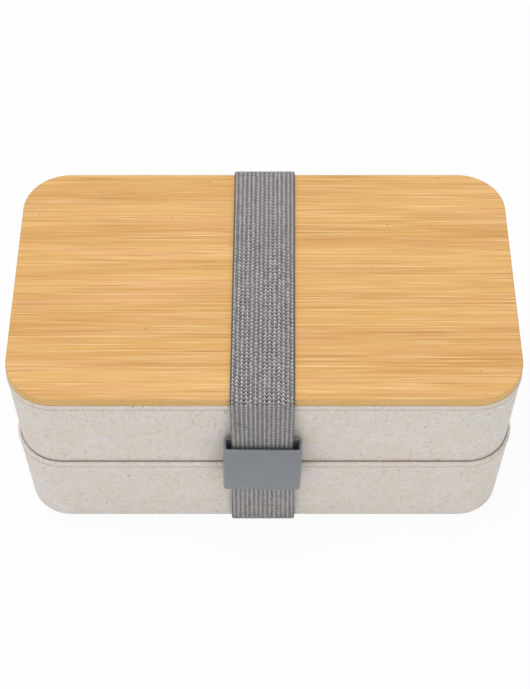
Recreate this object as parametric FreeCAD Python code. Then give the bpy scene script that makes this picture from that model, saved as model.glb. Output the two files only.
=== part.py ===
import FreeCAD, Part
import math
import os

# Two-tier bento lunch box: a bamboo lid on two nested trays, held shut by one elastic band.
# Millimetres. +X runs along the box, -Y is the front, +Z is up. The origin lies on the surface
# that the box stands on, under the middle of the lid.

# Lid
LID_LENGTH = 190.0
LID_WIDTH = 110.0
LID_THICKNESS = 4.2
CORNER_RADIUS = 19.0
LID_TOP_ROUND = 0.5
LID_UNDER_ROUND = 0.4

# Trays. The rim stands a little outside the lid, and a shallow lip runs round it.
RIM_OVERHANG = 0.3
UPPER_RIM_ROUND = 0.4
LOWER_RIM_ROUND = 0.9
LIP_HEIGHT = 1.7
LIP_STEP = 0.25
TRAY_WALL = 2.6
TRAY_FLOOR = 2.4
LOWER_TRAY_HEIGHT = 39.4
UPPER_TRAY_HEIGHT = 38.8
LOWER_DRAFT = 1.5
UPPER_DRAFT = 0.9
LOWER_FOOT_ROUND = 1.2
UPPER_FOOT_ROUND = 0.5
LOWER_FLOOR_ROUND = 4.0
UPPER_FLOOR_ROUND = 3.0

# Stepped plugs, under the lid and under the upper tray, that drop into the tray below. A shadow gap
# runs round the upper tray's foot, so its wall stands clear of the lower rim.
SEAT_GAP = 0.2
SHADOW_GAP = 1.0
SHADOW_GAP_DEPTH = 0.8
PLUG_DEPTH = 5.5
PLUG_CLEARANCE = 0.45
PLUG_WALL = 1.8
PLUG_ROUND = 0.6
SOCKET_ROOM = 1.0
LEDGE_RISE = 1.0

# Silicone rings in the plugs' grooves
SEAL_HEIGHT = 2.6
SEAL_DEPTH = 1.4
SEAL_DROP = 1.5
SEAL_PLAY = 0.1
SEAL_CLEARANCE = 0.2
SEAL_ROUND = 0.4

# Divider across the upper tray
DIVIDER_PLACE = 28.0
DIVIDER_THICKNESS = 2.0
DIVIDER_CLEARANCE = 0.3
DIVIDER_HEADROOM = 1.5
DIVIDER_TOP_ROUND = 4.0

# Elastic band round the middle of the box
BAND_WIDTH = 24.0
BAND_THICKNESS = 1.4
BAND_OFFSET = -0.5
BAND_GAP = 0.2
BAND_SIDE_GAP = 0.3
BAND_BEND = 1.2
LAP_HEIGHT = 14.0
CUT_GAP = 0.1

# Thread of the sewn lap
STITCH_LENGTH = 2.2
STITCH_PITCH = 3.0
STITCH_RADIUS = 0.3
STITCH_MARGIN = 2.5
STITCH_SELVEDGE = 1.5

# Plastic sleeve on the front of the band
SLEEVE_SIDE_ROOM = 1.5
SLEEVE_HEIGHT = 25.9
SLEEVE_BELOW_RIM = 6.1
SLEEVE_FRONT_WALL = 1.8
SLEEVE_BACK_WALL = 1.0
SLEEVE_SIDE_WALL = 1.1
SLEEVE_CAVITY = 4.0
SLEEVE_BAND_GAP = 0.6
SLEEVE_FRONT_ROUND = 1.2
SLEEVE_BACK_ROUND = 0.5
SLEEVE_FOOT_ROUND = 1.3

# Heights
base_z = BAND_THICKNESS + BAND_GAP
lower_rim_z = base_z + LOWER_TRAY_HEIGHT
shoulder_z = lower_rim_z + SEAT_GAP
upper_rim_z = shoulder_z + UPPER_TRAY_HEIGHT
lid_under_z = upper_rim_z + SEAT_GAP
lid_top_z = lid_under_z + LID_THICKNESS
ledge_z = shoulder_z + LEDGE_RISE
upper_plug_z = shoulder_z - PLUG_DEPTH
upper_floor_z = upper_plug_z + TRAY_FLOOR
lid_plug_z = lid_under_z - PLUG_DEPTH
socket_depth = PLUG_DEPTH + SOCKET_ROOM
sleeve_low_z = lower_rim_z - SLEEVE_BELOW_RIM
sleeve_top_z = sleeve_low_z + SLEEVE_HEIGHT
lap_mid_z = (sleeve_low_z + sleeve_top_z) / 2
lap_low_z = lap_mid_z - LAP_HEIGHT / 2
lap_top_z = lap_mid_z + LAP_HEIGHT / 2

# Outsets: how far each outline stands outside the lid's own outline
wall_top_out = RIM_OVERHANG - LIP_STEP
lower_foot_out = wall_top_out - LOWER_DRAFT
upper_foot_out = wall_top_out - UPPER_DRAFT
socket_out = RIM_OVERHANG - TRAY_WALL
plug_out = socket_out - PLUG_CLEARANCE
groove_out = plug_out - SEAL_DEPTH
plug_cavity_out = groove_out - PLUG_WALL
lower_floor_out = lower_foot_out - TRAY_WALL
ledge_out = upper_foot_out - TRAY_WALL

# Depths of the sleeve and of the band's front run, measured towards the front
sleeve_back = LID_WIDTH / 2 + RIM_OVERHANG + BAND_SIDE_GAP
cavity_back = sleeve_back + SLEEVE_BACK_WALL
cavity_front = cavity_back + SLEEVE_CAVITY
sleeve_front = cavity_front + SLEEVE_FRONT_WALL
run_front = cavity_front - SLEEVE_BAND_GAP
run_back = run_front - BAND_THICKNESS
lap_back = run_back - BAND_THICKNESS

# Across the band
sleeve_half = BAND_WIDTH / 2 + SLEEVE_SIDE_ROOM + SLEEVE_SIDE_WALL
stitch_room = BAND_WIDTH - 2 * STITCH_SELVEDGE - STITCH_LENGTH
stitch_count = int(stitch_room / STITCH_PITCH) + 1

# Edges that differ in height by less than this are level
FLAT = 1e-3


def rounded_wire(corners, radii, place):
    """A closed wire of straight sides joined by tangent arcs; place turns (a, b) into a 3-D point."""
    spans = []
    for index, corner in enumerate(corners):
        here = FreeCAD.Vector(corner[0], corner[1], 0)
        before = FreeCAD.Vector(*corners[index - 1], 0) - here
        after = FreeCAD.Vector(*corners[(index + 1) % len(corners)], 0) - here
        half_angle = before.getAngle(after) / 2
        before.normalize()
        after.normalize()
        inward = before + after
        inward.normalize()
        reach = radii[index] / math.tan(half_angle)
        middle = here + inward * (radii[index] / math.sin(half_angle) - radii[index])
        spans.append((here + before * reach, middle, here + after * reach))
    edges = []
    for index, (start, middle, end) in enumerate(spans):
        following = spans[(index + 1) % len(spans)][0]
        if radii[index] > 0:
            arc = Part.Arc(place(start.x, start.y), place(middle.x, middle.y), place(end.x, end.y))
            edges.append(arc.toShape())
        edges.append(Part.LineSegment(place(end.x, end.y), place(following.x, following.y)).toShape())
    return Part.Wire(edges)


def outline(outset, height):
    """The lid's rounded rectangle, grown by outset, at a height."""
    half_x = LID_LENGTH / 2 + outset
    half_y = LID_WIDTH / 2 + outset
    corners = [(half_x, half_y), (-half_x, half_y), (-half_x, -half_y), (half_x, -half_y)]
    radius = CORNER_RADIUS + outset
    return rounded_wire(corners, [radius] * len(corners), lambda x, y: FreeCAD.Vector(x, y, height))


def stack(levels):
    """A solid through outlines given as (outset, height), with straight walls between them."""
    return Part.makeLoft([outline(outset, height) for outset, height in levels], True, True)


def slab(outset, low, high):
    """An upright solid with one outline."""
    return Part.Face(outline(outset, low)).extrude(FreeCAD.Vector(0, 0, high - low))


def ring(outer, inner, low, high):
    """An upright hoop between two outlines."""
    return slab(outer, low, high).cut(slab(inner, low, high))


def round_level(solid, height, radius):
    """Round the edges that lie flat at one height."""
    edges = [edge for edge in solid.Edges
             if abs(edge.BoundBox.ZMin - height) < FLAT and abs(edge.BoundBox.ZMax - height) < FLAT]
    return solid.makeFillet(radius, edges)


def grooved_plug(low, high):
    """The stepped plug under a lid or tray, with the groove that its seal sits in."""
    plug = round_level(slab(plug_out, low, high), low, PLUG_ROUND)
    return plug.cut(ring(plug_out + PLUG_CLEARANCE, groove_out, seal_low(high), high - SEAL_DROP))


def seal_low(shoulder):
    """Lower side of the groove below a shoulder at this height."""
    return shoulder - SEAL_DROP - SEAL_HEIGHT - 2 * SEAL_PLAY


def make_seal(shoulder):
    """Silicone ring in the groove below a shoulder, standing out almost to the tray's wall."""
    low = seal_low(shoulder) + SEAL_PLAY
    high = low + SEAL_HEIGHT
    body = slab(socket_out - SEAL_CLEARANCE, low, high)
    body = round_level(round_level(body, low, SEAL_ROUND), high, SEAL_ROUND)
    return body.cut(slab(groove_out + SEAL_PLAY, low, high))


def make_lid():
    board = slab(0, lid_under_z, lid_top_z)
    board = round_level(board, lid_top_z, LID_TOP_ROUND)
    board = round_level(board, lid_under_z, LID_UNDER_ROUND)
    return board.fuse(grooved_plug(lid_plug_z, lid_under_z)).removeSplitter()


def tray_outside(foot_out, foot_z, rim_z, foot_round, rim_round):
    """A tray's outer body: a drafted wall with a rounded foot, and the lip round its rim."""
    lip_z = rim_z - LIP_HEIGHT
    wall = round_level(stack([(foot_out, foot_z), (wall_top_out, lip_z)]), foot_z, foot_round)
    lip = round_level(slab(RIM_OVERHANG, lip_z, rim_z), rim_z, rim_round)
    return wall.fuse(lip).removeSplitter()


def make_lower_tray():
    floor_z = base_z + TRAY_FLOOR
    outside = tray_outside(lower_foot_out, base_z, lower_rim_z, LOWER_FOOT_ROUND, LOWER_RIM_ROUND)
    socket_z = lower_rim_z - socket_depth
    hollow = stack([(lower_floor_out, floor_z), (socket_out, socket_z), (socket_out, lower_rim_z)])
    return outside.cut(round_level(hollow, floor_z, LOWER_FLOOR_ROUND))


def make_upper_tray():
    """The upper tray: its floor sits down in the plug, so a ledge runs round the inside."""
    foot_z = shoulder_z + SHADOW_GAP
    outside = tray_outside(upper_foot_out, foot_z, upper_rim_z, UPPER_FOOT_ROUND, UPPER_RIM_ROUND)
    seat = slab(upper_foot_out - SHADOW_GAP_DEPTH, shoulder_z, foot_z)
    body = outside.fuse([seat, grooved_plug(upper_plug_z, shoulder_z)]).removeSplitter()
    socket_z = upper_rim_z - socket_depth
    hollow = stack([(ledge_out, ledge_z), (socket_out, socket_z), (socket_out, upper_rim_z)])
    well = round_level(slab(plug_cavity_out, upper_floor_z, ledge_z), upper_floor_z, UPPER_FLOOR_ROUND)
    return body.cut(hollow).cut(well)


def make_divider():
    """A wall across the upper tray, with shoulders over the ledge and a foot down in the well."""
    half_width = LID_WIDTH / 2 - DIVIDER_CLEARANCE
    foot = half_width + plug_cavity_out
    shoulder = half_width + ledge_out
    head = half_width + socket_out
    foot_z = upper_floor_z + SEAT_GAP
    step_z = ledge_z + SEAT_GAP
    top_z = lid_plug_z - DIVIDER_HEADROOM
    socket_z = upper_rim_z - socket_depth
    head -= (socket_out - ledge_out) * max(0.0, (socket_z - top_z) / (socket_z - ledge_z))
    right = [(foot, foot_z), (foot, step_z), (shoulder, step_z), (head, top_z)]
    left = [(-y, z) for y, z in reversed(right)]
    radii = [UPPER_FLOOR_ROUND + DIVIDER_CLEARANCE, 0, 0, DIVIDER_TOP_ROUND]
    near_side = DIVIDER_PLACE - DIVIDER_THICKNESS / 2
    wire = rounded_wire(right + left, radii + radii[::-1], lambda y, z: FreeCAD.Vector(near_side, y, z))
    return Part.Face(wire).extrude(FreeCAD.Vector(DIVIDER_THICKNESS, 0, 0))


def grown(corners, distance):
    """A convex polygon, given anticlockwise, with every side moved outwards."""
    moved = []
    for index, corner in enumerate(corners):
        here = FreeCAD.Vector(*corner, 0)
        into = here - FreeCAD.Vector(*corners[index - 1], 0)
        out_of = FreeCAD.Vector(*corners[(index + 1) % len(corners)], 0) - here
        into.normalize()
        out_of.normalize()
        normals = FreeCAD.Vector(into.y + out_of.y, -into.x - out_of.x, 0)
        shift = normals * (distance / (1 + into.dot(out_of)))
        moved.append((here.x + shift.x, here.y + shift.y))
    return moved


def make_band_loop():
    """The whole band: a closed strip that follows the lid, the sleeve, the base and the back."""
    rim_side = LID_WIDTH / 2 + RIM_OVERHANG + BAND_SIDE_GAP
    foot_side = LID_WIDTH / 2 + lower_foot_out + BAND_SIDE_GAP
    top_z = lid_top_z + BAND_GAP
    inner = [
        (-rim_side, top_z), (-run_back, sleeve_top_z), (-run_back, sleeve_low_z),
        (-foot_side, BAND_THICKNESS), (foot_side, BAND_THICKNESS), (rim_side, lower_rim_z),
        (rim_side, top_z)]
    bends = [BAND_BEND] * len(inner)

    def place(y, z):
        return FreeCAD.Vector(BAND_OFFSET - BAND_WIDTH / 2, y, z)

    outer_wire = rounded_wire(grown(inner, BAND_THICKNESS), [bend + BAND_THICKNESS for bend in bends], place)
    inner_wire = rounded_wire(inner, bends, place)
    return Part.Face(outer_wire).cut(Part.Face(inner_wire)).extrude(FreeCAD.Vector(BAND_WIDTH, 0, 0))


def keep(solid, y_low, y_high, z_low, z_high):
    """The part of a solid inside a box that is wider than the band."""
    corner = FreeCAD.Vector(BAND_OFFSET - BAND_WIDTH, y_low, z_low)
    return solid.common(Part.makeBox(2 * BAND_WIDTH, y_high - y_low, z_high - z_low, corner))


def make_band_half(low, high, front_low, front_high):
    """Half of the band loop, between one pair of heights behind and another in front."""
    loop = make_band_loop()
    reach = LID_WIDTH
    back = keep(loop, 0, reach, low, high)
    front = keep(loop, -reach, 0, front_low, front_high)
    return back.fuse(front).removeSplitter()


def make_lap():
    """The two ends of the band, laid over each other inside the sleeve."""
    corner = FreeCAD.Vector(BAND_OFFSET - BAND_WIDTH / 2, -run_front, lap_low_z)
    return Part.makeBox(BAND_WIDTH, run_front - lap_back, LAP_HEIGHT, corner)


def make_stitches():
    """Half-round threads in two rows on each face of the lap."""
    threads = []
    along_x = FreeCAD.Vector(1, 0, 0)
    first_x = BAND_OFFSET - STITCH_PITCH * (stitch_count - 1) / 2 - STITCH_LENGTH / 2
    for height in (lap_low_z + STITCH_MARGIN, lap_top_z - STITCH_MARGIN):
        for face_y, outside in ((-run_front, -1), (-lap_back, 1)):
            for count in range(stitch_count):
                start = FreeCAD.Vector(first_x + count * STITCH_PITCH, face_y, height)
                rod = Part.makeCylinder(STITCH_RADIUS, STITCH_LENGTH, start, along_x)
                half = Part.makeBox(STITCH_LENGTH, STITCH_RADIUS, 2 * STITCH_RADIUS,
                                    start - FreeCAD.Vector(0, STITCH_RADIUS * (outside < 0), STITCH_RADIUS))
                threads.append(rod.common(half).Solids[0])
    return Part.makeCompound(threads)


def make_sleeve():
    """A flat rectangular tube round the band, with rounded front edges and lower corners."""
    half = sleeve_half
    inside = half - SLEEVE_SIDE_WALL
    outer = [(half, -sleeve_back), (-half, -sleeve_back), (-half, -sleeve_front), (half, -sleeve_front)]
    inner = [(inside, -cavity_back), (-inside, -cavity_back), (-inside, -cavity_front), (inside, -cavity_front)]
    rounds = [SLEEVE_BACK_ROUND, SLEEVE_BACK_ROUND, SLEEVE_FRONT_ROUND, SLEEVE_FRONT_ROUND]

    def at_foot(x, y):
        return FreeCAD.Vector(BAND_OFFSET + x, y, sleeve_low_z)

    def at_front(x, z):
        return FreeCAD.Vector(BAND_OFFSET + x, -sleeve_front, z)

    section = Part.Face(rounded_wire(outer, rounds, at_foot))
    section = section.cut(Part.Face(rounded_wire(inner, [SLEEVE_BACK_ROUND] * len(inner), at_foot)))
    tube = section.extrude(FreeCAD.Vector(0, 0, SLEEVE_HEIGHT))
    face = [(half, sleeve_top_z), (-half, sleeve_top_z), (-half, sleeve_low_z), (half, sleeve_low_z)]
    face_rounds = [SLEEVE_BACK_ROUND, SLEEVE_BACK_ROUND, SLEEVE_FOOT_ROUND, SLEEVE_FOOT_ROUND]
    silhouette = Part.Face(rounded_wire(face, face_rounds, at_front))
    return tube.common(silhouette.extrude(FreeCAD.Vector(0, sleeve_front - sleeve_back, 0)))


def main():
    beyond = lid_top_z + 2 * BAND_THICKNESS
    pieces = {
        "bamboo_lid": make_lid(),
        "lid_seal": make_seal(lid_under_z),
        "upper_tray": make_upper_tray(),
        "tray_seal": make_seal(shoulder_z),
        "lower_tray": make_lower_tray(),
        "divider": make_divider(),
        "elastic_band_upper": make_band_half(lap_mid_z + CUT_GAP, beyond, lap_top_z + CUT_GAP, beyond),
        "elastic_band_lower": make_band_half(-beyond, lap_mid_z, -beyond, lap_low_z - CUT_GAP),
        "band_sewn_lap": make_lap(),
        "lap_stitching": make_stitches(),
        "strap_sleeve": make_sleeve(),
    }
    os.makedirs("parts", exist_ok=True)
    for name, shape in pieces.items():
        shape.exportStep(f"parts/{name}.step")
        print(f"{name}: {len(shape.Solids)} solid(s), {shape.Volume / 1000:.2f} cm3, valid {shape.isValid()}")


main()
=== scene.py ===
import math

import bmesh
import bpy
import numpy as np
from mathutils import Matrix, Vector


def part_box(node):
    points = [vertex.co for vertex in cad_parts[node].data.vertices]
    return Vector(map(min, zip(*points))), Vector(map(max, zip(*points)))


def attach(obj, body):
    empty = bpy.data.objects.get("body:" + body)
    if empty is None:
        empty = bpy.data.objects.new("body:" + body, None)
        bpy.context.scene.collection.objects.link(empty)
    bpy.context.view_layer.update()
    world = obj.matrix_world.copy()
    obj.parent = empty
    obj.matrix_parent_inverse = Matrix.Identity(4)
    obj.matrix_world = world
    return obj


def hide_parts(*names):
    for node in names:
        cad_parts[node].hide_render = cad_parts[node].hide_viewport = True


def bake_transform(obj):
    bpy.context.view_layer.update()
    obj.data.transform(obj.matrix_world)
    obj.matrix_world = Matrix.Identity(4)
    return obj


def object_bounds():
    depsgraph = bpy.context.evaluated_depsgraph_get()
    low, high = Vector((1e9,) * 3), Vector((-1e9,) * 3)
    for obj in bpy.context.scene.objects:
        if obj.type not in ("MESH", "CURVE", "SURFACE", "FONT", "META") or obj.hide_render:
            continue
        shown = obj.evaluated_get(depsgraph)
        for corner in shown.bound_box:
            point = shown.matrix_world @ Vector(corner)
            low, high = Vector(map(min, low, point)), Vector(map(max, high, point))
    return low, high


# Two-tier bento lunch box: bamboo lid, two speckled trays, ribbed elastic band with a plastic sleeve.
# Metres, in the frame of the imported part: +X along the box, -Y to the front, +Z up.
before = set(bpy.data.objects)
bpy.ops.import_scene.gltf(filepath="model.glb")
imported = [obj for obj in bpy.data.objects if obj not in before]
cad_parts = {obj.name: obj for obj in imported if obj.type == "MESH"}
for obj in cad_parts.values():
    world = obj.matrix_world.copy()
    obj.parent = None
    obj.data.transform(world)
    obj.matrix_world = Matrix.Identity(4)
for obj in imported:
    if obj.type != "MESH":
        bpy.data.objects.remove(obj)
cad_box = [list(corner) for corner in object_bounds()]

MM = 0.001

# Places that the frame gives
lid_low, lid_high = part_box("bamboo_lid")
upper_low, upper_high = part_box("upper_tray")
lower_low, lower_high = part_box("lower_tray")
lid_seal_low, lid_seal_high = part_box("lid_seal")
tray_seal_low, tray_seal_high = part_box("tray_seal")
divider_low, divider_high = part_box("divider")
band_low, band_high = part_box("elastic_band_upper")
base_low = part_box("elastic_band_lower")[0]
lap_low, lap_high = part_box("band_sewn_lap")
thread_low, thread_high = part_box("lap_stitching")
sleeve_low, sleeve_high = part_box("strap_sleeve")

# Lid and trays
CORNER_RADIUS = 18.0 * MM
LID_THICKNESS = 4.2 * MM
LID_TOP_ROUND = 0.5 * MM
LID_UNDER_ROUND = 0.4 * MM
LIP_HEIGHT = 1.7 * MM
LIP_STEP = 0.25 * MM
LIP_GROOVE = 0.42 * MM
LIP_GROOVE_HEIGHT = 1.1 * MM
SOCKET_ROUND = 0.4 * MM
UPPER_RIM_ROUND = 0.4 * MM
LOWER_RIM_ROUND = 0.3 * MM
RIM_FENCE = 1.0 * MM
RIM_FENCE_GAP = 0.3 * MM
RIM_FENCE_ROUND = 0.2 * MM
TRAY_WALL = 2.6 * MM
TRAY_FLOOR = 2.4 * MM
LOWER_DRAFT = 1.5 * MM
UPPER_DRAFT = 1.15 * MM
LOWER_FOOT_ROUND = 1.2 * MM
SHADOW_GAP = 1.0 * MM
SHADOW_GAP_DEPTH = 0.8 * MM
LOWER_FLOOR_ROUND = 4.0 * MM
UPPER_FLOOR_ROUND = 3.0 * MM
PLUG_DEPTH = 5.5 * MM
PLUG_CLEARANCE = 0.45 * MM
PLUG_WALL = 1.8 * MM
PLUG_ROUND = 0.6 * MM
SOCKET_DEPTH = 6.5 * MM
LEDGE_RISE = 1.0 * MM
SEAL_DEPTH = 1.4 * MM
SEAL_PLAY = 0.1 * MM
SEAL_ROUND = 0.3 * MM
SEAL_LIP = 0.8 * MM
SEAL_WAIST = 0.5 * MM
EASED = 0.15 * MM
WALL_BEND = 2.0 * MM

# Divider
DIVIDER_TOP_ROUND = 4.0 * MM
DIVIDER_CORNER = 0.6 * MM
DIVIDER_EDGE = 0.5 * MM
DIVIDER_CLEARANCE = 0.3 * MM
SEAT_GAP = 0.2 * MM

# Elastic band
BAND_THICKNESS = 1.4 * MM
BAND_BEND = 1.2 * MM
BACK_BEND = 1.7 * MM
LAP_BEND = 3.0 * MM
LAP_STEP = 4.0 * MM
RIB_COUNT = 14
RIB_SAMPLES = 8
RIB_DEPTH = 0.2 * MM
BACK_RIB_SHARE = 0.4
SELVEDGE_ROUND = 1.2 * MM
# The real stitches are about 1.4 mm apart, and are drawn a little coarser so that they show
STITCH_SPACING = 1.65 * MM
BAND_ROW = 1.2 * MM
DRAWN_IN = 0.95
LID_FRONT_SPREAD = 0.98
SPREAD_OUT = 1.04
ASKEW = 0.7 * MM
SET_BACK = 0.55 * MM
# How far the stitches open at the start and the end of a run, which sets how much painted shade shows in
# their gaps and along the selvedges
LID_OPENING = (0.8, 1.0)
UPRIGHT_OPENING = (0.15, 0.15)
FOOT_OPENING = (0.35, 0.4)
BASE_OPENING = (0.8, 0.8)
THREAD_SPACING = 3.0 * MM
THREAD_LENGTH = 2.2 * MM
THREAD_RADIUS = 0.3 * MM
THREAD_PROUD = 0.03 * MM

# Sleeve
SLEEVE_FRONT_WALL = 1.8 * MM
SLEEVE_BACK_WALL = 1.0 * MM
SLEEVE_SIDE_WALL = 1.1 * MM
SLEEVE_FRONT_ROUND = 1.2 * MM
SLEEVE_BACK_ROUND = 0.5 * MM
SLEEVE_FOOT_ROUND = 1.3 * MM
SLEEVE_LEAN = math.radians(0.9)
SLEEVE_TOP_ROUND = 0.5
SLEEVE_LOW_ROUND = 0.2

# Fineness of the meshes
ARC_STEPS = 9
CORNER_STEPS = 20
LONG_STEPS = 48
SHORT_STEPS = 22
WALL_ROW = 4.0 * MM
CAP_ROWS = 4
WELD = 1e-6
SHARP_ANGLE = math.radians(38)

# Weave of the band: how far a stitch slants across half a rib, and how unlike each other stitches are
STITCH_SLANT = 1.3
STITCH_UNLIKENESS = 0.28

# The middle values of a noise pattern, between which a roughness runs from one limit to the other
PATTERN_LOW = 0.3
PATTERN_HIGH = 0.7

# Stage: lamps are (name, place, size, power), in metres and watts
FLOOR_REACH = 6.0
FLOOR_LIFT = 0.93
AMBIENT = 0.42
LAMPS = [
    ("key_lamp", (-0.2, 0.1, 1.35), 1.0, 7.8),
    ("left_lamp", (-0.6, -0.85, 0.75), 0.7, 2.0),
    ("right_lamp", (0.6, -0.85, 0.75), 0.7, 2.0),
    ("back_lamp", (0.1, 0.8, 0.9), 0.7, 0.7)]

# Camera, fitted to the photograph
CAMERA_ELEVATION = math.radians(53.0)
CAMERA_DISTANCE = 600 * MM
CAMERA_TARGET = (0.3 * MM, -30.3 * MM, lid_high.z)
SENSOR_WIDTH = 36.0
FOCAL_PIXELS = 1625.0
IMAGE_HEIGHT = 689.0

# Outsets from the lid's outline
RIM_OUT = upper_high.x - lid_high.x
WALL_TOP_OUT = RIM_OUT - LIP_STEP
SOCKET_OUT = RIM_OUT - TRAY_WALL
PLUG_OUT = SOCKET_OUT - PLUG_CLEARANCE
GROOVE_OUT = PLUG_OUT - SEAL_DEPTH
LOWER_FOOT_OUT = WALL_TOP_OUT - LOWER_DRAFT
UPPER_FOOT_OUT = WALL_TOP_OUT - UPPER_DRAFT
MIDDLE_OUT = -CORNER_RADIUS


# Mesh making

def unit(vectors):
    """Vectors divided by their lengths."""
    return vectors / np.linalg.norm(vectors, axis=-1, keepdims=True)


def rounded(corners, radii):
    """A line through corners, where each inner corner is turned by a circular arc: a rational quadratic
    curve between the two tangent points, drawn to the corner with the cosine of half the turn as weight."""
    corners = np.array(corners, float)
    ways = unit(np.diff(corners, axis=0))
    half_turn = np.arccos(np.clip(np.sum(ways[:-1] * ways[1:], axis=1), -1, 1))[:, None, None] / 2
    reach = np.array(radii, float)[:, None, None] * np.tan(half_turn)
    corner = corners[1:-1, None]
    start = corner - ways[:-1, None] * reach
    end = corner + ways[1:, None] * reach
    t = np.linspace(0, 1, ARC_STEPS)[None, :, None]
    pull = 2 * np.cos(half_turn) * t * (1 - t)
    arcs = (start * (1 - t) ** 2 + corner * pull + end * t ** 2) / ((1 - t) ** 2 + pull + t ** 2)
    return np.concatenate([corners[:1], arcs.reshape(-1, 2), corners[-1:]])


def run_along(line):
    """How far along a line each of its points lies."""
    return np.concatenate([[0], np.cumsum(np.linalg.norm(np.diff(line, axis=0), axis=1))])


def divided(line, spacing):
    """The same line with more points, so that none are further apart than the spacing."""
    run = run_along(line)
    marks = np.union1d(run, np.arange(0, run[-1], spacing))
    return np.stack([np.interp(marks, run, column) for column in line.T], axis=-1)


def grid_faces(rows, columns, around):
    """Quads of a grid of points; with around, the last column joins the first."""
    index = np.arange(rows * columns).reshape(rows, columns)
    if around:
        index = np.concatenate([index, index[:, :1]], axis=1)
    corners = [index[:-1, :-1], index[:-1, 1:], index[1:, 1:], index[1:, :-1]]
    return np.stack(corners, axis=-1).reshape(-1, 4).tolist()


def make_piece(name, points, faces, material, **attributes):
    """A mesh object at the origin: coincident points are welded, faces turned outwards, and edges
    sharper than the set angle stay sharp under smooth shading."""
    mesh = bpy.data.meshes.new(name)
    mesh.from_pydata(points.reshape(-1, 3).tolist(), [], faces)
    for label, values in attributes.items():
        layer = mesh.attributes.new(label, "FLOAT_VECTOR", "POINT")
        layer.data.foreach_set("vector", values.astype(np.float32).ravel())
    shell = bmesh.new()
    shell.from_mesh(mesh)
    bmesh.ops.remove_doubles(shell, verts=shell.verts, dist=WELD)
    bmesh.ops.recalc_face_normals(shell, faces=shell.faces)
    shell.to_mesh(mesh)
    shell.free()
    mesh.shade_smooth()
    mesh.set_sharp_from_angle(angle=SHARP_ANGLE)
    mesh.materials.append(material)
    piece = bpy.data.objects.new(name, mesh)
    bpy.context.scene.collection.objects.link(piece)
    return piece


def place(piece, body, slot, *nodes):
    """Attaches a piece to what carries it, and hides the nodes that it stands for. The slot is not used."""
    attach(piece, body)
    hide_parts(*nodes)


# Lid, trays and seals: profiles carried round the lid's outline

def box_outline():
    """Centres and outward normals round the box: along a side the centre moves and the normal keeps
    still, and round a corner the centre keeps still and the normal turns."""
    reach_x = lid_high.x - CORNER_RADIUS
    reach_y = lid_high.y - CORNER_RADIUS
    turn_keys = np.array([0, 0, 1, 1, 2, 2, 3, 3, 4]) * math.pi / 2
    x_keys = np.array([1, 1, 1, -1, -1, -1, -1, 1, 1]) * reach_x
    y_keys = np.array([-1, 1, 1, 1, 1, -1, -1, -1, -1]) * reach_y
    steps = [SHORT_STEPS, CORNER_STEPS, LONG_STEPS, CORNER_STEPS] * 2
    marks = np.concatenate([np.linspace(k, k + 1, n, endpoint=False) for k, n in enumerate(steps)])
    keys = np.arange(len(turn_keys))
    turn = np.interp(marks, keys, turn_keys)
    centres = np.stack([np.interp(marks, keys, x_keys), np.interp(marks, keys, y_keys)], axis=-1)
    return centres, np.stack([np.cos(turn), np.sin(turn)], axis=-1)


def carried(name, profile, material, first_cap=False, last_cap=False):
    """A profile of (outset, height) rows carried round the box. Each point is the outline's centre plus
    its normal times the corner radius and the outset. A cap's rows draw the centres in to a ridge along the
    middle, at 45 degrees in plan, as the hips of a roof do."""
    centres, normals = box_outline()
    hip = centres[:, 1].max() / centres[:, 0].max()
    narrowing = np.linspace(0, 1, CAP_ROWS)
    rows = np.column_stack([profile, np.zeros(len(profile))])
    if first_cap:
        cap = [[MIDDLE_OUT, profile[0, 1], share] for share in narrowing[::-1]]
        rows = np.concatenate([cap, rows])
    if last_cap:
        cap = [[MIDDLE_OUT, profile[-1, 1], share] for share in narrowing]
        rows = np.concatenate([rows, cap])
    outset, height, narrow = rows.T[:, :, None]
    reach = CORNER_RADIUS + outset
    x = centres[:, 0] * (1 - narrow * hip) + normals[:, 0] * reach
    y = centres[:, 1] * (1 - narrow) + normals[:, 1] * reach
    points = np.stack([x, y, np.broadcast_to(height, x.shape)], axis=-1)
    return make_piece(name, points, grid_faces(*x.shape, True), material)


def plug_corners(shoulder, seal_bottom, seal_top, bottom):
    """Corners and radii of a stepped plug below a shoulder: in to its wall, round the seal's groove,
    and down to its underside."""
    groove_top = seal_top + SEAL_PLAY
    groove_low = seal_bottom - SEAL_PLAY
    corners = [
        (PLUG_OUT, shoulder), (PLUG_OUT, groove_top), (GROOVE_OUT, groove_top), (GROOVE_OUT, groove_low),
        (PLUG_OUT, groove_low), (PLUG_OUT, bottom), (MIDDLE_OUT, bottom)]
    return corners, [EASED, EASED, EASED, EASED, EASED, PLUG_ROUND]


def rim_corners(rim, rim_round):
    """Corners and radii down the outside of a tray's rim, to the fine groove under its lip."""
    lip = rim - LIP_HEIGHT
    groove_out = WALL_TOP_OUT - LIP_GROOVE
    groove_low = lip - LIP_GROOVE_HEIGHT
    corners = [
        (RIM_OUT, rim), (RIM_OUT, lip), (groove_out, lip), (groove_out, groove_low),
        (WALL_TOP_OUT, groove_low)]
    return corners, [rim_round, EASED, EASED, EASED, EASED]


def make_lid(material):
    """The board's top, its eased edges, and the plug below it."""
    under = lid_high.z - LID_THICKNESS
    plug, plug_radii = plug_corners(under, lid_seal_low.z, lid_seal_high.z, lid_low.z)
    corners = [(MIDDLE_OUT, lid_high.z), (0, lid_high.z), (0, under)] + plug
    radii = [LID_TOP_ROUND, LID_UNDER_ROUND] + plug_radii
    profile = divided(rounded(corners, radii), WALL_ROW)
    board = carried("lid_board", profile, material, first_cap=True, last_cap=True)
    place(board, "lid", "bamboo", "bamboo_lid")


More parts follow.
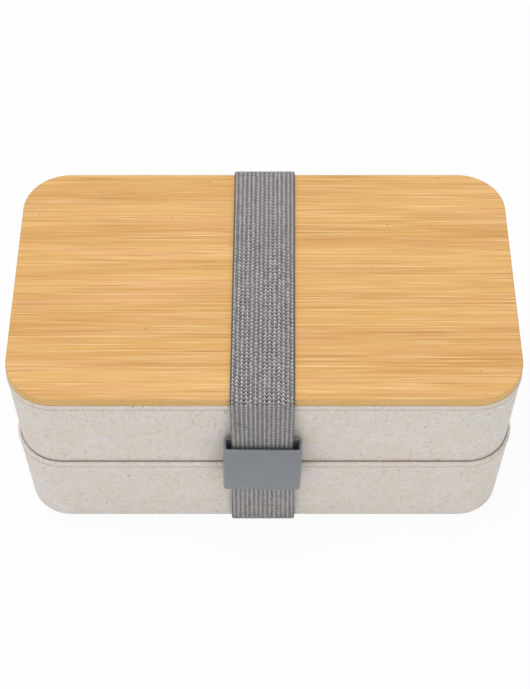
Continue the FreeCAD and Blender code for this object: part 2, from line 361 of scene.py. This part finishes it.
def make_lower_tray(material):
    """Inside floor and wall, over the seat and the thin fence that stands on the rim, and down the drafted
    outside to the base. A fine shadow gap parts the fence from the upper tray's foot."""
    seat = lower_high.z
    fence_out = UPPER_FOOT_OUT + RIM_FENCE_GAP
    rim, rim_radii = rim_corners(seat + RIM_FENCE, LOWER_RIM_ROUND)
    floor = lower_low.z + TRAY_FLOOR
    corners = [
        (MIDDLE_OUT, floor), (LOWER_FOOT_OUT - TRAY_WALL, floor), (SOCKET_OUT, seat - SOCKET_DEPTH),
        (SOCKET_OUT, seat), (fence_out, seat), (fence_out, seat + RIM_FENCE)]
    corners += rim + [(LOWER_FOOT_OUT, lower_low.z), (MIDDLE_OUT, lower_low.z)]
    radii = [LOWER_FLOOR_ROUND, WALL_BEND, SOCKET_ROUND, EASED, RIM_FENCE_ROUND]
    radii += rim_radii + [LOWER_FOOT_ROUND]
    profile = divided(rounded(corners, radii), WALL_ROW)
    tray = carried("lower_tray_shell", profile, material, first_cap=True, last_cap=True)
    place(tray, "lower_tray", "tray_plastic", "lower_tray")


def make_upper_tray(material):
    """As the lower tray, with a well in the floor, a ledge round it and a plain rim. The wall's foot stands
    clear of the lower tray, on a seat that is set back, with the plug below."""
    rim, rim_radii = rim_corners(upper_high.z, UPPER_RIM_ROUND)
    shoulder = upper_low.z + PLUG_DEPTH
    floor = upper_low.z + TRAY_FLOOR
    ledge = shoulder + LEDGE_RISE
    foot = shoulder + SHADOW_GAP
    seat_out = UPPER_FOOT_OUT - SHADOW_GAP_DEPTH
    well_out = GROOVE_OUT - PLUG_WALL
    plug, plug_radii = plug_corners(shoulder, tray_seal_low.z, tray_seal_high.z, upper_low.z)
    corners = [
        (MIDDLE_OUT, floor), (well_out, floor), (well_out, ledge), (UPPER_FOOT_OUT - TRAY_WALL, ledge),
        (SOCKET_OUT, upper_high.z - SOCKET_DEPTH), (SOCKET_OUT, upper_high.z)]
    corners += rim + [(UPPER_FOOT_OUT, foot), (seat_out, foot), (seat_out, shoulder)] + plug
    radii = [UPPER_FLOOR_ROUND, SOCKET_ROUND, SOCKET_ROUND, WALL_BEND, SOCKET_ROUND] + rim_radii
    radii += [EASED, EASED, EASED] + plug_radii
    profile = divided(rounded(corners, radii), WALL_ROW)
    tray = carried("upper_tray_shell", profile, material, first_cap=True, last_cap=True)
    place(tray, "upper_tray", "tray_plastic", "upper_tray")


def make_seal(name, node, body, low, high, material):
    """A ring with two lips: its closed profile runs from the groove, round both lips and back."""
    inner = GROOVE_OUT + SEAL_PLAY
    outer = high.x - lid_high.x
    middle = (low.z + high.z) / 2
    corners = [
        (inner, middle), (inner, low.z), (outer, low.z), (outer, low.z + SEAL_LIP),
        (outer - SEAL_WAIST, middle), (outer, high.z - SEAL_LIP), (outer, high.z), (inner, high.z),
        (inner, middle)]
    lip_radii = [SEAL_ROUND, SEAL_ROUND / 2]
    ring = carried(name, rounded(corners, [0] + lip_radii + [SEAL_ROUND] + lip_radii[::-1] + [0]), material)
    place(ring, body, "silicone", node)


def make_divider(material):
    """A plate across the tray: its rounded outline is carried over the plate's thickness, drawn in by a
    quarter circle at both faces, and each face is one flat cap."""
    head = divider_high.y
    top = divider_high.z
    foot = lid_high.y + GROOVE_OUT - PLUG_WALL - DIVIDER_CLEARANCE
    shoulder = lid_high.y + UPPER_FOOT_OUT - TRAY_WALL - DIVIDER_CLEARANCE
    step = upper_low.z + PLUG_DEPTH + LEDGE_RISE + SEAT_GAP
    right = [(foot, divider_low.z), (foot, step), (shoulder, step), (head, top)]
    left = [(-y, z) for y, z in reversed(right)]
    middle = (0, divider_low.z)
    foot_round = UPPER_FLOOR_ROUND + DIVIDER_CLEARANCE
    radii = [foot_round, DIVIDER_CORNER, DIVIDER_CORNER, DIVIDER_TOP_ROUND]
    loop = rounded([middle] + right + left + [middle], radii + radii[::-1])
    loop = divided(loop, WALL_ROW)[:-1]
    way = unit(np.roll(loop, -1, axis=0) - np.roll(loop, 1, axis=0))
    outward = np.stack([way[:, 1], -way[:, 0]], axis=-1)
    bend = np.linspace(0, math.pi / 2, ARC_STEPS)
    inset = DIVIDER_EDGE * np.concatenate([1 - np.sin(bend), 1 - np.cos(bend)])[:, None, None]
    half_edge = DIVIDER_EDGE * (1 - np.cos(bend))
    x = np.concatenate([divider_low.x + half_edge, divider_high.x - DIVIDER_EDGE * (1 - np.sin(bend))])
    ring = loop[None] - outward[None] * inset
    points = np.concatenate([np.broadcast_to(x[:, None, None], ring.shape[:2] + (1,)), ring], axis=-1)
    count = len(loop)
    ends = [list(range(count)), list(range((len(x) - 1) * count, len(x) * count))]
    faces = grid_faces(len(x), count, True) + ends
    wall = make_piece("divider_wall", points, faces, material)
    place(wall, "divider", "tray_plastic", "divider")


# Elastic band

def band_section():
    """Across the band: a closed loop of places across its width, from -1 to 1, the same places counted in
    ribs, and their heights. A rib is a low arc, and the selvedges are quarter ellipses down to
    mid-thickness."""
    ribs = np.linspace(0, RIB_COUNT, RIB_COUNT * RIB_SAMPLES + 1)
    across = 2 * ribs / RIB_COUNT - 1
    valley = RIB_DEPTH * (1 - np.sqrt(1 - (2 * (ribs % 1) - 1) ** 2))
    edge = np.minimum(ribs, RIB_COUNT - ribs)
    edge_round = SELVEDGE_ROUND * RIB_COUNT / (band_high.x - band_low.x)
    share = np.sqrt(1 - (1 - np.clip(edge / edge_round, 0, 1)) ** 2)
    middle = BAND_THICKNESS / 2
    outer = middle + (middle - valley) * share
    inner = middle - (middle - valley * BACK_RIB_SHARE) * share
    back = slice(-2, 0, -1)
    pairs = [(across, across[back]), (ribs, ribs[back]), (outer, inner[back])]
    return [np.concatenate(pair) for pair in pairs]


def make_strip(name, corners, radii, spread, shift, opening, stitch_start, material):
    """The band's section carried along a line in the (y, z) plane: each point is the line's point plus its
    outward normal times the section's height. The width is scaled by the spread and moved by the shift, which
    run evenly from corner to corner. The weave attribute holds the count of ribs across the band, the count
    of stitches along its outer face, and how far the stitches open, which sets how deep the painted shade
    between them lies and has a start and an end value on the run that each corner begins."""
    line = divided(rounded(corners, radii), BAND_ROW)
    way = unit(np.gradient(line, axis=0))
    outward = np.stack([way[:, 1], -way[:, 0]], axis=-1)
    across, ribs, height = band_section()
    yz = line[:, None] + outward[:, None] * height[None, :, None]
    run = run_along(line)
    corner_run = run_along(np.array(corners))
    half = (band_high.x - band_low.x) / 2 * np.interp(run, corner_run, spread)
    middle = (band_high.x + band_low.x) / 2 + np.interp(run, corner_run, shift)
    x = middle[:, None] + half[:, None] * across
    points = np.concatenate([x[..., None], yz], axis=-1)
    outer_run = run_along(line + outward * BAND_THICKNESS)
    stitches = (outer_run - outer_run[-1] if stitch_start == "end" else outer_run) / STITCH_SPACING
    run_ends = np.stack([corner_run[:-1], corner_run[1:]], axis=-1)
    open_here = np.interp(run, run_ends.ravel(), np.ravel(opening))
    weave = np.stack(np.broadcast_arrays(ribs, stitches[:, None], open_here[:, None]), axis=-1)
    rows, columns = x.shape
    ends = [list(range(columns)), list(range((rows - 1) * columns, rows * columns))]
    return make_piece(name, points, grid_faces(rows, columns, True) + ends, material, weave=weave)


def make_band(material):
    """One sewn loop in two strips, which meet behind and overlap in the sleeve in front. The elastic draws
    in a little at the sleeve, where it lies near the back wall, spreads a little under the base, bends more
    gently behind the lid than elsewhere, and runs slightly askew over it."""
    seam_z = lap_high.z
    back_y = band_high.y - BAND_THICKNESS
    top_z = band_high.z - BAND_THICKNESS
    front_y = lap_low.y + BAND_THICKNESS + SET_BACK
    end_y = lap_high.y + SET_BACK
    base_z = base_low.z + BAND_THICKNESS
    foot_y = lid_high.y + LOWER_FOOT_OUT + (back_y - upper_high.y)
    upper = [
        (back_y, seam_z), (back_y, top_z), (-back_y, top_z), (front_y, sleeve_high.z), (front_y, lap_low.z)]
    lower = [
        (end_y, lap_high.z), (end_y, lap_low.z + EASED), (front_y, lap_low.z - LAP_STEP),
        (front_y, sleeve_low.z), (-foot_y, base_z), (foot_y, base_z), (back_y, lower_high.z),
        (back_y, seam_z)]
    upper_spread = [1, 1, LID_FRONT_SPREAD, DRAWN_IN, DRAWN_IN]
    upper_shift = [0, ASKEW, -ASKEW / 4, -ASKEW / 4, 0]
    lower_spread = [DRAWN_IN, DRAWN_IN, DRAWN_IN, 1, SPREAD_OUT, SPREAD_OUT, 1, 1]
    lower_shift = [0] * len(lower)
    upper_opening = [UPRIGHT_OPENING, LID_OPENING, UPRIGHT_OPENING, UPRIGHT_OPENING]
    lower_opening = [UPRIGHT_OPENING] * 3 + [FOOT_OPENING] + [BASE_OPENING] + [UPRIGHT_OPENING] * 2
    upper_bends = [BACK_BEND, BAND_BEND, BAND_BEND]
    lower_bends = [LAP_BEND] * 2 + [BAND_BEND] * 4
    upper_strip = make_strip(
        "band_upper_strip", upper, upper_bends, upper_spread, upper_shift, upper_opening, "start", material)
    lower_strip = make_strip(
        "band_lower_strip", lower, lower_bends, lower_spread, lower_shift, lower_opening, "end", material)
    return upper_strip, lower_strip


def make_thread(material):
    """Two rows of stitches on both faces of the lap. A stitch is a tube along X whose radius swells and
    sinks as the root of a sine. It is pulled into the soft webbing, and stands only a little proud of it."""
    count = 1 + round((thread_high.x - thread_low.x - THREAD_LENGTH) / THREAD_SPACING)
    along = np.linspace(0, 1, ARC_STEPS)
    turn = np.linspace(0, 2 * math.pi, ARC_STEPS, endpoint=False)
    swell = np.sqrt(np.sin(math.pi * along))
    tube = np.stack([
        np.broadcast_to((along * THREAD_LENGTH)[:, None], (ARC_STEPS, ARC_STEPS)),
        THREAD_RADIUS * swell[:, None] * np.cos(turn),
        THREAD_RADIUS * swell[:, None] * np.sin(turn)], axis=-1)
    x = thread_low.x + THREAD_SPACING * np.arange(count)
    z = [thread_low.z + THREAD_RADIUS, thread_high.z - THREAD_RADIUS]
    sunk = THREAD_RADIUS - THREAD_PROUD
    y = [lap_low.y + SET_BACK + sunk, lap_high.y + SET_BACK - sunk]
    starts = np.stack(np.meshgrid(x, y, z, indexing="ij"), axis=-1).reshape(-1, 3)
    points = starts[:, None, None] + tube[None]
    one = np.array(grid_faces(ARC_STEPS, ARC_STEPS, True))
    faces = (one + np.arange(len(starts))[:, None, None] * ARC_STEPS ** 2).reshape(-1, 4).tolist()
    thread = make_piece("lap_thread", points, faces, material)
    place(thread, "band_mid", "thread", "lap_stitching")


# Sleeve

def sleeve_loop(low_x, high_x, front, back, front_round, back_round):
    """A closed rounded rectangle in plan, begun at the middle of its back side."""
    middle = (low_x + high_x) / 2
    corners = [
        (middle, back), (high_x, back), (high_x, front), (middle, front), (low_x, front), (low_x, back),
        (middle, back)]
    return rounded(corners, [back_round, front_round, 0, front_round, back_round])[:-1]


def make_sleeve(material):
    """A flat tube: outer and inner plan loops joined over rims that are half ellipses across the wall, as
    high as a share of its thickness. Both rims follow the front view's outline, which lifts the lower corners
    and drops the upper ones along a quarter circle. It hangs slightly askew, turned about its upper edge."""
    outer = sleeve_loop(sleeve_low.x, sleeve_high.x, sleeve_low.y, sleeve_high.y,
                        SLEEVE_FRONT_ROUND, SLEEVE_BACK_ROUND)
    inner = sleeve_loop(sleeve_low.x + SLEEVE_SIDE_WALL, sleeve_high.x - SLEEVE_SIDE_WALL,
                        sleeve_low.y + SLEEVE_FRONT_WALL, sleeve_high.y - SLEEVE_BACK_WALL,
                        SLEEVE_BACK_ROUND, SLEEVE_BACK_ROUND)
    turn = np.linspace(0, math.pi, 2 * ARC_STEPS - 1)[:, None]
    share = (1 - np.cos(turn)) / 2
    plan = outer + (inner - outer) * share[..., None]
    drop = np.linalg.norm(inner - outer, axis=-1) * (1 - np.sin(turn))
    middle = (sleeve_low.x + sleeve_high.x) / 2
    past_middle = np.abs(plan[..., 0] - middle)
    half = (sleeve_high.x - sleeve_low.x) / 2

    def corner_lift(radius):
        past = np.clip(past_middle - (half - radius), 0, radius)
        return radius - np.sqrt(radius ** 2 - past ** 2)

    high = sleeve_high.z - corner_lift(SLEEVE_BACK_ROUND) - drop * SLEEVE_TOP_ROUND
    low = sleeve_low.z + corner_lift(SLEEVE_FOOT_ROUND) + drop * SLEEVE_LOW_ROUND
    top_rim = np.concatenate([plan, high[..., None]], axis=-1)
    low_rim = np.concatenate([plan, low[..., None]], axis=-1)[::-1]
    rows = np.concatenate([top_rim, low_rim, top_rim[:1]])
    past, fall = rows[..., 0] - middle, rows[..., 2] - sleeve_high.z
    rows[..., 0] = middle + past * math.cos(SLEEVE_LEAN) + fall * math.sin(SLEEVE_LEAN)
    rows[..., 2] = sleeve_high.z + fall * math.cos(SLEEVE_LEAN) - past * math.sin(SLEEVE_LEAN)
    tube = make_piece("sleeve_tube", rows, grid_faces(*rows.shape[:2], True), material)
    place(tube, "sleeve", "sleeve_plastic", "strap_sleeve")


# Materials

def colour(code):
    """Linear colour of an sRGB hex code."""
    srgb = np.array([int(code[k:k + 2], 16) for k in (0, 2, 4)]) / 255
    linear = np.where(srgb <= 0.04045, srgb / 12.92, ((srgb + 0.055) / 1.055) ** 2.4)
    return (*linear.tolist(), 1.0)


def add(tree, kind, sockets, **settings):
    """A new node: settings are its properties, and sockets its inputs, as values or as outputs to link."""
    node = tree.nodes.new(kind)
    for name, value in settings.items():
        setattr(node, name, value)
    for socket, value in sockets.items():
        if isinstance(value, bpy.types.NodeSocket):
            tree.links.new(value, node.inputs[socket])
        else:
            node.inputs[socket].default_value = value
    return node


def new_tree(name):
    """A material with an empty node tree."""
    material = bpy.data.materials.new(name)
    material.use_nodes = True
    material.node_tree.nodes.clear()
    return material, material.node_tree


def grain(tree, size, detail=2.0, roughness=0.5, shift=(0.0, 0.0, 0.0)):
    """Noise whose cells measure size, in millimetres along X, Y and Z, moved by a shift in cells."""
    place_in = add(tree, "ShaderNodeTexCoord", {}).outputs["Object"]
    scaled = add(tree, "ShaderNodeMapping", {
        "Vector": place_in, "Scale": [1 / (MM * extent) for extent in size], "Location": shift})
    return add(tree, "ShaderNodeTexNoise", {
        "Vector": scaled.outputs[0], "Scale": 1.0, "Detail": detail, "Roughness": roughness}).outputs[0]


def laid_over(tree, base, top, pattern, low, high, most=1.0):
    """A colour laid over a base, more and more as a pattern goes from low to high, up to a share of most."""
    share = add(tree, "ShaderNodeMapRange", {
        "Value": pattern, "From Min": low, "From Max": high, "To Max": most}, interpolation_type="SMOOTHSTEP")
    return add(tree, "ShaderNodeMix", {0: share.outputs[0], 6: base, 7: top}, data_type="RGBA").outputs[2]


def finish_tree(tree, base, pattern, smoothest, roughest, height, relief, **shader):
    """The material's one shader: its colour, a roughness that follows a pattern's middle values between two
    limits, and a bump of the given relief in metres."""
    roughness = add(tree, "ShaderNodeMapRange", {
        "Value": pattern, "From Min": PATTERN_LOW, "From Max": PATTERN_HIGH,
        "To Min": smoothest, "To Max": roughest})
    bump = add(tree, "ShaderNodeBump", {"Height": height, "Distance": relief, "Strength": 1.0})
    sockets = {"Base Color": base, "Roughness": roughness.outputs[0], "Normal": bump.outputs[0], **shader}
    surface = add(tree, "ShaderNodeBsdfPrincipled", sockets)
    add(tree, "ShaderNodeOutputMaterial", {"Surface": surface.outputs[0]})


def specks(tree, spacing, radius, stretch, chance):
    """Scattered spots, in millimetres: a point in each cell of the given spacing, kept where its random
    number is over the chance, and drawn as a spot of the radius, stretched along X."""
    place_in = add(tree, "ShaderNodeTexCoord", {}).outputs["Object"]
    scaled = add(tree, "ShaderNodeMapping", {
        "Vector": place_in, "Scale": [1 / (MM * spacing * extent) for extent in (stretch, 1, 1)]})
    cells = add(tree, "ShaderNodeTexVoronoi", {"Vector": scaled.outputs[0], "Scale": 1.0})
    spot = add(tree, "ShaderNodeMapRange", {
        "Value": cells.outputs["Distance"], "From Min": radius / spacing, "From Max": 0.5 * radius / spacing})
    pick = add(tree, "ShaderNodeSeparateColor", {"Color": cells.outputs["Color"]}).outputs[0]
    kept = add(tree, "ShaderNodeMath", {0: pick, 1: chance}, operation="GREATER_THAN").outputs[0]
    return add(tree, "ShaderNodeMath", {0: spot.outputs[0], 1: kept}, operation="MULTIPLY").outputs[0]


def bamboo_material():
    """Pressed bamboo board, sanded and oiled: honey colour in soft strips with hints of yellow and pink, and
    long fine fibres along X, pale and dark side by side, which show in some bundles more than in others. A
    few tiny pores are open. Below the top's rounded edge the board is painted paler and yellower, as painted
    light on its sides, and on its ends the fibres show as dots."""
    material, tree = new_tree("pressed_bamboo_oiled")
    strips = grain(tree, (300, 12, 12), detail=1.0, shift=(4.0, 2.5, 1.0))
    fibres = grain(tree, (65, 0.65, 0.65), detail=2.0, roughness=0.55)
    base = laid_over(tree, colour("D9A156"), colour("E9B66B"), strips, 0.32, 0.68)
    yellow = grain(tree, (70, 7, 7), shift=(5.0, 5.0, 5.0))
    base = laid_over(tree, base, colour("E6B45E"), yellow, 0.5, 0.72, 0.5)
    pink = grain(tree, (70, 6, 6), shift=(9.0, 2.0, 7.0))
    base = laid_over(tree, base, colour("EBB07A"), pink, 0.5, 0.72, 0.6)
    calm = base
    base = laid_over(tree, base, colour("C98F4A"), fibres, 0.5, 0.3, 0.75)
    base = laid_over(tree, base, colour("F6CB8C"), fibres, 0.5, 0.7, 0.8)
    base = laid_over(tree, base, calm, grain(tree, (80, 7, 7), shift=(3.0, 8.0, 1.0)), 0.42, 0.6, 0.7)
    pale = grain(tree, (42, 0.4, 0.4), detail=1.0, shift=(1.0, 4.0, 4.0))
    base = laid_over(tree, base, colour("FAD9A0"), pale, 0.58, 0.72, 0.85)
    dark = grain(tree, (40, 0.4, 0.4), detail=1.0)
    base = laid_over(tree, base, colour("B67C3A"), dark, 0.58, 0.74, 0.75)
    base = laid_over(tree, base, colour("8A5A2C"), specks(tree, 7.0, 0.28, 1.5, 0.5), 0.0, 1.0)
    # Painted light: below the top's rounded edge the colour is lifted paler and yellower, so that the board's
    # sides look more lit
    place_in = add(tree, "ShaderNodeTexCoord", {}).outputs["Object"]
    level = add(tree, "ShaderNodeSeparateXYZ", {"Vector": place_in}).outputs[2]
    base = laid_over(tree, base, colour("E6BC6E"), level, lid_high.z, lid_high.z - LID_TOP_ROUND, 0.5)
    finish_tree(tree, base, fibres, 0.42, 0.55, fibres, 0.02 * MM, IOR=1.5)
    return material


def straw_plastic_material():
    """Moulded plastic filled with straw: pale stone colour with cream and pinkish clouds, and scattered
    ragged flecks and short fibres, dark and pale, just under the satin skin."""
    material, tree = new_tree("straw_filled_plastic")
    mottle = grain(tree, (2.2, 2.2, 2.2), detail=3.0, roughness=0.6)
    base = laid_over(tree, colour("E8E1DC"), colour("E9DFD1"), grain(tree, (11, 11, 11)), 0.38, 0.62)
    pink = grain(tree, (13, 13, 13), shift=(5.0, 5.0, 5.0))
    base = laid_over(tree, base, colour("EEE3E1"), pink, 0.48, 0.66, 0.7)
    base = laid_over(tree, base, colour("D8CDC2"), mottle, 0.35, 0.7, 0.4)
    for number, size in enumerate([(3.4, 0.8, 0.8), (0.8, 0.8, 3.4), (0.8, 3.4, 0.8)]):
        fibres = grain(tree, size, detail=1.0, shift=(number, 7.0, 3.0))
        base = laid_over(tree, base, colour("A99C90"), fibres, 0.64, 0.76, 0.4)
    pale = grain(tree, (1.5, 1.2, 1.2), detail=1.0, shift=(2.0, 9.0, 4.0))
    base = laid_over(tree, base, colour("FFFAF2"), pale, 0.68, 0.78, 0.7)
    dark = grain(tree, (1.6, 1.3, 1.3), detail=2.0, roughness=0.6, shift=(8.0, 1.0, 6.0))
    base = laid_over(tree, base, colour("8A7F75"), dark, 0.68, 0.8, 0.7)
    skin = grain(tree, (0.4, 0.4, 0.4))
    finish_tree(tree, base, mottle, 0.44, 0.56, skin, 0.012 * MM, IOR=1.49)
    return material


def webbing_material():
    """Ribbed woven elastic of polyester yarn: a pale chain line on each rib, from which slanting stitches
    fall away on both sides over painted shade in the gaps between them, deepest where the stitches open, out
    of step with the next rib and each a little paler or darker than the others. The valleys between the ribs
    are darkened with painted shade, and the beaded selvedges carry a painted shadow along the band's edges,
    also deepest where the stitches open. The yarn is darker where the stitches lie closed. The weave
    attribute carries the pattern round the bends."""
    material, tree = new_tree("ribbed_polyester_elastic")
    weave = add(tree, "ShaderNodeAttribute", {}, attribute_name="weave").outputs["Vector"]
    ribs, stitches, opening = add(tree, "ShaderNodeSeparateXYZ", {"Vector": weave}).outputs
    edge = add(tree, "ShaderNodeMath", {0: ribs, 1: RIB_COUNT / 2}, operation="PINGPONG").outputs[0]
    up_rib = add(tree, "ShaderNodeMath", {0: ribs, 1: 0.5}, operation="PINGPONG").outputs[0]
    rib = add(tree, "ShaderNodeMath", {0: ribs}, operation="FLOOR").outputs[0]
    lag = add(tree, "ShaderNodeTexWhiteNoise", {"W": rib}, noise_dimensions="1D").outputs["Value"]
    stitch = add(tree, "ShaderNodeMath", {0: stitches, 1: lag}, operation="ADD").outputs[0]
    slant = add(tree, "ShaderNodeMath", {0: up_rib, 1: STITCH_SLANT, 2: stitch},
                operation="MULTIPLY_ADD").outputs[0]
    turn = add(tree, "ShaderNodeMath", {0: slant, 1: 2 * math.pi}, operation="MULTIPLY").outputs[0]
    wave = add(tree, "ShaderNodeMath", {0: turn}, operation="SINE").outputs[0]
    side = add(tree, "ShaderNodeMath", {0: ribs, 1: 2.0}, operation="MULTIPLY").outputs[0]
    cell = add(tree, "ShaderNodeCombineXYZ", {"X": side, "Y": slant}).outputs[0]
    single = add(tree, "ShaderNodeVectorMath", {0: cell}, operation="FLOOR").outputs[0]
    stray = add(tree, "ShaderNodeTexWhiteNoise", {"Vector": single}, noise_dimensions="2D").outputs["Value"]
    fuzz = grain(tree, (0.9, 1.4, 1.4), detail=2.0)
    yarn = laid_over(tree, colour("BCB8B7"), colour("8B8987"), opening, 0.45, 0.15, 0.7)
    # Painted shade: the near-black strokes between the stitches stand for the shade in their gaps, laid on as
    # far as the stitches open
    base = laid_over(tree, yarn, colour("1E1E20"), wave, 0.4, -0.4, opening)
    uneven = add(tree, "ShaderNodeMath", {0: opening, 1: STITCH_UNLIKENESS},
                 operation="MULTIPLY").outputs[0]
    base = laid_over(tree, base, colour("2A2A2C"), stray, 0.55, 0.85, uneven)
    base = laid_over(tree, base, colour("D7D3D2"), stray, 0.35, 0.05, uneven)
    # Painted shade: the valleys between the ribs are darkened
    base = laid_over(tree, base, colour("5C5B5A"), up_rib, 0.22, 0.02, 0.4)
    base = laid_over(tree, base, colour("858381"), grain(tree, (3.0, 9.0, 9.0)), 0.35, 0.65, 0.35)
    dots = laid_over(tree, colour("BEBBBA"), colour("E6E2E1"), wave, -0.2, 0.6)
    base = laid_over(tree, base, dots, up_rib, 0.34, 0.47, 0.7)
    base = laid_over(tree, base, colour("5E5D5D"), fuzz, 0.45, 0.75, 0.5)
    # Beaded selvedges with a painted shadow: the edges are darkened to near black in dots, most on the runs
    # where the stitches open
    selvedge = laid_over(tree, colour("8A8988"), colour("121214"), wave, 0.3, -0.3)
    base = laid_over(tree, base, selvedge, edge, 0.5, 0.25, opening)
    height = add(tree, "ShaderNodeMath", {0: wave, 1: 0.5, 2: fuzz}, operation="MULTIPLY_ADD").outputs[0]
    finish_tree(tree, base, fuzz, 0.85, 0.95, height, 0.05 * MM, IOR=1.45,
                **{"Specular IOR Level": 0.25, "Sheen Weight": 0.05, "Sheen Roughness": 0.5})
    return material


def thread_material():
    """Spun polyester sewing thread: mid grey, twisted, with a slight sheen."""
    material, tree = new_tree("polyester_thread")
    twist = grain(tree, (0.25, 0.6, 0.25))
    base = laid_over(tree, colour("6E6E70"), colour("9B9A98"), twist, 0.35, 0.65)
    finish_tree(tree, base, twist, 0.65, 0.75, twist, 0.03 * MM, IOR=1.45, **{"Sheen Weight": 0.2})
    return material


def sleeve_material():
    """Moulded satin plastic: cool grey, with the faint fine texture of an etched mould."""
    material, tree = new_tree("satin_moulded_plastic")
    etched = grain(tree, (0.3, 0.3, 0.3), detail=1.0)
    base = laid_over(tree, colour("80858B"), colour("83888E"), grain(tree, (8, 8, 8)), 0.35, 0.65)
    finish_tree(tree, base, etched, 0.38, 0.48, etched, 0.01 * MM, IOR=1.49)
    return material


def silicone_material():
    """Milky silicone rubber: soft satin skin with a little light passing through it."""
    material, tree = new_tree("milky_silicone")
    skin = grain(tree, (0.5, 0.5, 0.5), detail=1.0)
    base = laid_over(tree, colour("DAD6CE"), colour("E2DED7"), grain(tree, (6, 6, 6)), 0.35, 0.65)
    finish_tree(tree, base, skin, 0.35, 0.45, skin, 0.01 * MM, IOR=1.41,
                **{"Subsurface Weight": 0.15, "Subsurface Scale": 1.0 * MM})
    return material


# Stage

def background_share(tree):
    """1 for rays from the camera, from a gloss or through glass, which see the background, and 0 for the
    others."""
    path = add(tree, "ShaderNodeLightPath", {}).outputs
    seen = add(tree, "ShaderNodeMath", {0: path["Is Camera Ray"], 1: path["Is Glossy Ray"]},
               operation="MAXIMUM")
    return add(tree, "ShaderNodeMath", {0: seen.outputs[0], 1: path["Is Transmission Ray"]},
               operation="MAXIMUM").outputs[0]


def make_floor():
    """A wide pale floor. As background it is lifted most of the way to white, and it keeps the object's
    shadow."""
    corners = FLOOR_REACH * np.array([(-1, -1, 0), (1, -1, 0), (1, 1, 0), (-1, 1, 0)])
    material, tree = new_tree("pale_floor")
    lift = add(tree, "ShaderNodeMath", {0: background_share(tree), 1: FLOOR_LIFT}, operation="MULTIPLY")
    paint = add(tree, "ShaderNodeBsdfDiffuse", {"Color": colour("F4F4F4")})
    white = add(tree, "ShaderNodeEmission", {"Color": colour("FFFFFF"), "Strength": 1.0})
    surface = add(tree, "ShaderNodeMixShader", {0: lift.outputs[0], 1: paint.outputs[0], 2: white.outputs[0]})
    add(tree, "ShaderNodeOutputMaterial", {"Surface": surface.outputs[0]})
    make_piece("floor", corners, [(0, 1, 2, 3)], material)


def make_world():
    """Even white surroundings: plain light on the object, and full white as background."""
    world = bpy.data.worlds.new("studio")
    bpy.context.scene.world = world
    world.use_nodes = True
    tree = world.node_tree
    tree.nodes.clear()
    strength = add(tree, "ShaderNodeMath", {0: background_share(tree), 1: 1 - AMBIENT, 2: AMBIENT},
                   operation="MULTIPLY_ADD")
    light = add(tree, "ShaderNodeBackground", {"Color": colour("FFFFFF"), "Strength": strength.outputs[0]})
    add(tree, "ShaderNodeOutputWorld", {"Surface": light.outputs[0]})


def make_lamp(name, position, size, power):
    """A square soft lamp that faces the box."""
    data = bpy.data.lights.new(name, "AREA")
    data.shape = "SQUARE"
    data.size = size
    data.energy = power
    lamp = bpy.data.objects.new(name, data)
    lamp.location = position
    target = (Vector(cad_box[0]) + Vector(cad_box[1])) / 2
    lamp.rotation_mode = "QUATERNION"
    lamp.rotation_quaternion = (target - lamp.location).to_track_quat("-Z", "Y")
    bpy.context.scene.collection.objects.link(lamp)


def make_camera():
    """Looks down on the front of the box, as in the photograph."""
    data = bpy.data.cameras.new("photo_camera")
    data.sensor_width = SENSOR_WIDTH
    data.lens = FOCAL_PIXELS * SENSOR_WIDTH / IMAGE_HEIGHT
    camera = bpy.data.objects.new("photo_camera", data)
    back = Vector((0, -math.cos(CAMERA_ELEVATION), math.sin(CAMERA_ELEVATION)))
    camera.location = Vector(CAMERA_TARGET) + back * CAMERA_DISTANCE
    camera.rotation_mode = "QUATERNION"
    camera.rotation_quaternion = (-back).to_track_quat("-Z", "Y")
    bpy.context.scene.collection.objects.link(camera)
    bpy.context.scene.camera = camera


bamboo = bamboo_material()
straw_plastic = straw_plastic_material()
webbing = webbing_material()
silicone = silicone_material()

make_lid(bamboo)
make_upper_tray(straw_plastic)
make_lower_tray(straw_plastic)
make_seal("lid_seal_ring", "lid_seal", "lid", lid_seal_low, lid_seal_high, silicone)
make_seal("tray_seal_ring", "tray_seal", "upper_tray", tray_seal_low, tray_seal_high, silicone)
make_divider(straw_plastic)
make_thread(thread_material())
make_sleeve(sleeve_material())

upper_strip, lower_strip = make_band(webbing)
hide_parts("elastic_band_upper", "band_sewn_lap")
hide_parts("elastic_band_lower")
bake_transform(upper_strip)
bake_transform(lower_strip)

make_floor()
make_world()
for lamp in LAMPS:
    make_lamp(*lamp)
make_camera()
bpy.context.scene.view_settings.view_transform = "Standard"
